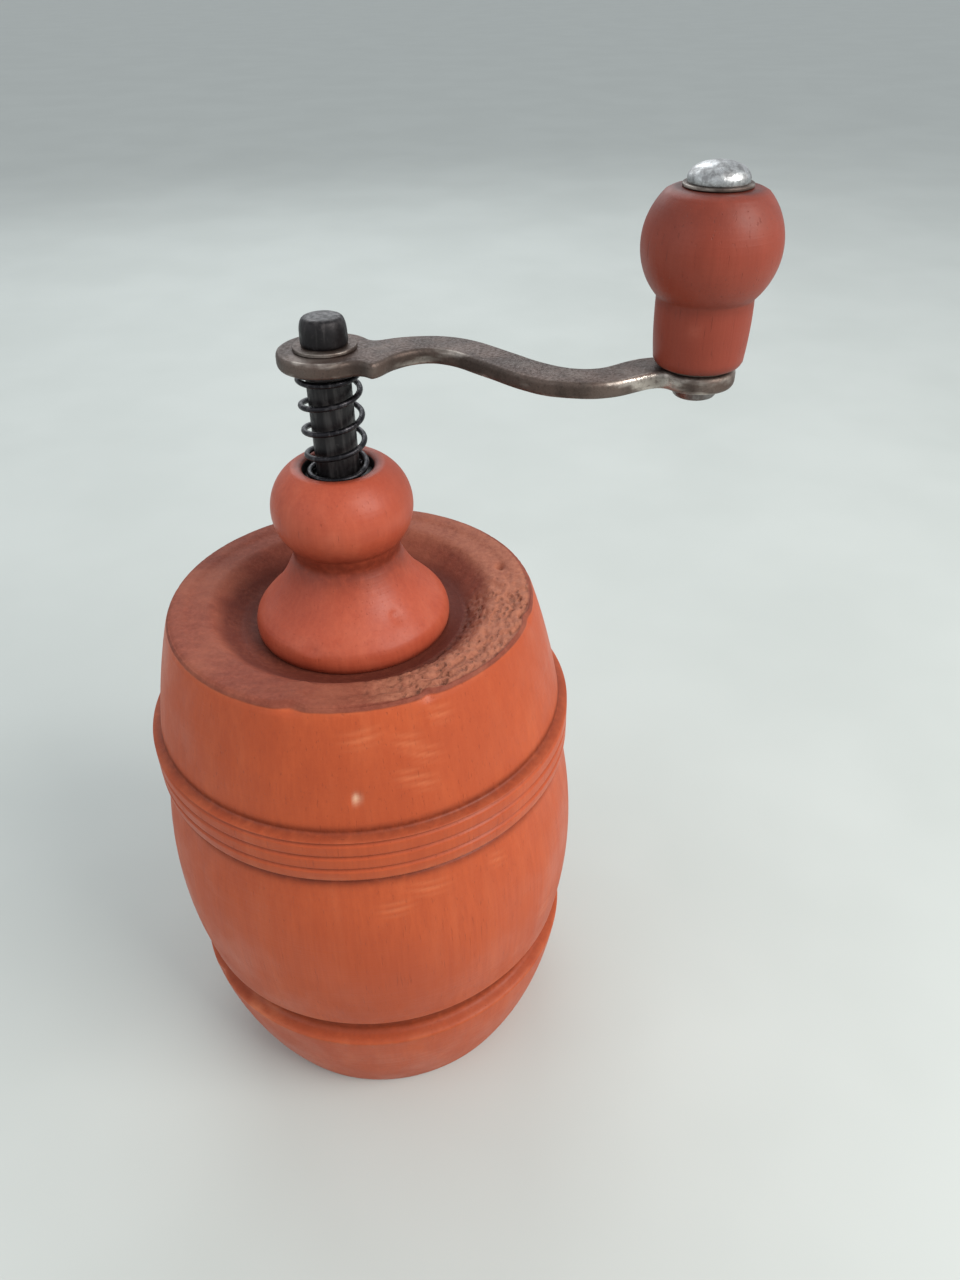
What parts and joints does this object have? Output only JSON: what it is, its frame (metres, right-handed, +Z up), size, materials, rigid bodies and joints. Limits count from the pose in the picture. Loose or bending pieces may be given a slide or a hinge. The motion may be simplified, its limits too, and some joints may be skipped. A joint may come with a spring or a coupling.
{
  "type": "hand pepper mill",
  "caption": "Barrel-shaped turned wooden pepper mill with a sprung wooden lid on a steel shaft and an S-shaped flat steel crank with a wooden knob.",
  "frame": {"origin": "centre of the barrel's foot, where the shaft's axis meets the surface that the mill stands on", "axes": "+Z up along the drive shaft, +X from the shaft towards the crank's knob at rest, +Y to the left of the crank seen from above"},
  "size_m": [0.0896, 0.0692, 0.1489],
  "materials": {
    "barrel_wood": "satin stained, worn",
    "lid_wood": "satin stained, worn",
    "knob_wood": "satin painted, worn",
    "aged_steel": "oxidised brown, worn at the edges",
    "black_steel": "blackened, low sheen",
    "spring_steel": "dark oiled",
    "bare_steel": "plain rolled",
    "burr_steel": "hardened, dark",
    "zinc_rivet": "dull zinc, mottled",
    "zinc_screw": "zinc plated",
    "brass": "dull"
  },
  "bodies": {
    "barrel": {"barrel_body": "barrel_wood", "top_bridge": "bare_steel", "bridge_bush": "brass", "bridge_screws": "zinc_screw", "burr_ring": "burr_steel", "burr_plate": "bare_steel", "plate_screws": "zinc_screw"},
    "crank": {"drive_shaft": "black_steel", "thrust_collar": "bare_steel", "collar_pin": "bare_steel", "crank_arm": "aged_steel", "arm_washer": "aged_steel", "crank_nut": "black_steel", "knob_washer": "aged_steel", "knob_pin": "zinc_rivet", "knob_cap_ring": "black_steel", "spring_washer": "black_steel"},
    "knob": {"knob_grip": "knob_wood"},
    "lid": {"lid": "lid_wood", "lid_bush": "brass", "spring_seat": "black_steel", "lid_spring": "spring_steel"},
    "cone": {"burr_cone": "burr_steel", "cone_washer": "bare_steel"},
    "adjuster": {"adjust_nut": "brass"}
  },
  "joints": [
    {"name": "crank_turn", "type": "hinge", "parent": "barrel", "child": "crank", "pos_m": [0, 0, 0], "axis": [0, 0, 1], "continuous": true},
    {"name": "knob_spin", "type": "hinge", "parent": "crank", "child": "knob", "pos_m": [0.047, 0, 0.13], "axis": [0, 0, 1], "continuous": true},
    {"name": "lid_lift", "type": "slide", "parent": "barrel", "child": "lid", "axis": [0, 0, 1], "range_m": [0, 0.009], "stiffness_N_per_m": 250, "springref_m": -0.01, "deforming": ["lid_spring"]},
    {"name": "grind_shift", "type": "slide", "parent": "crank", "child": "cone", "axis": [0, 0, 1], "range_m": [-0.00052, 0.00052]},
    {"name": "adjuster_turn", "type": "hinge", "parent": "cone", "child": "adjuster", "pos_m": [0, 0, 0.004], "axis": [0, 0, 1], "range_deg": [-270, 270]}
  ],
  "couplings": [
    {"joint": "adjuster_turn", "follows": "grind_shift", "rad_per_m": 8976}
  ]
}
